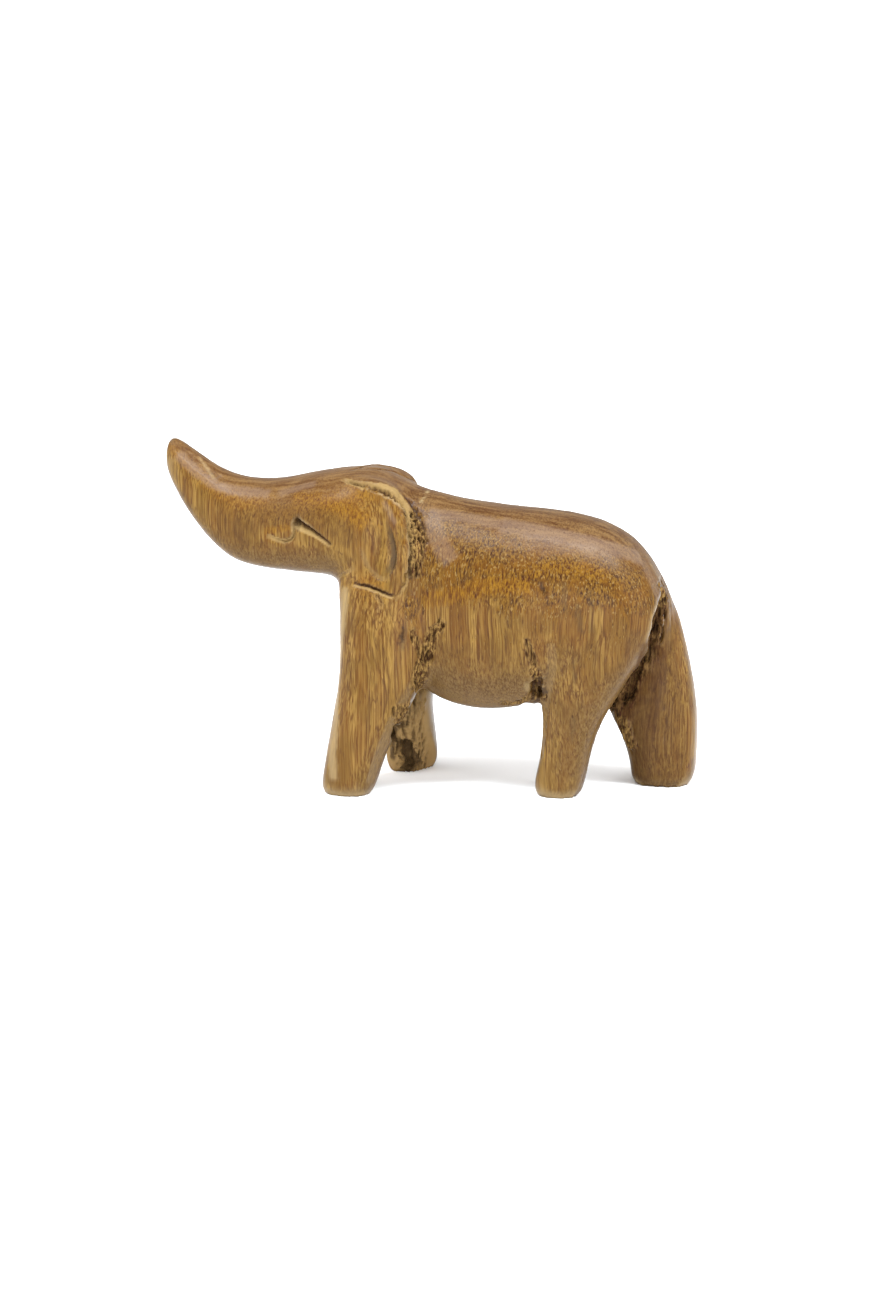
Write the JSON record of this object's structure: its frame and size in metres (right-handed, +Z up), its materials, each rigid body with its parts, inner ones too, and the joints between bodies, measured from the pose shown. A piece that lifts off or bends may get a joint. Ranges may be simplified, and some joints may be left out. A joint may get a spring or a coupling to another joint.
{
  "type": "carved wooden elephant figurine",
  "caption": "Small elephant carved from one block of wood, standing on its legs mid-stride, with its trunk raised ahead of it and ears cut against its neck.",
  "frame": {"origin": "on the surface that the elephant stands on, under the middle of its box", "axes": "+Z up, -X the way the elephant faces, -Y its own left side"},
  "size_m": [0.1205, 0.0362, 0.078],
  "materials": {
    "wood": "hand-rubbed wax over open-grained brown hardwood, satin, with raw torn wood in the deepest cuts"
  },
  "bodies": {
    "root": {"carved_elephant": "wood"}
  },
  "joints": []
}
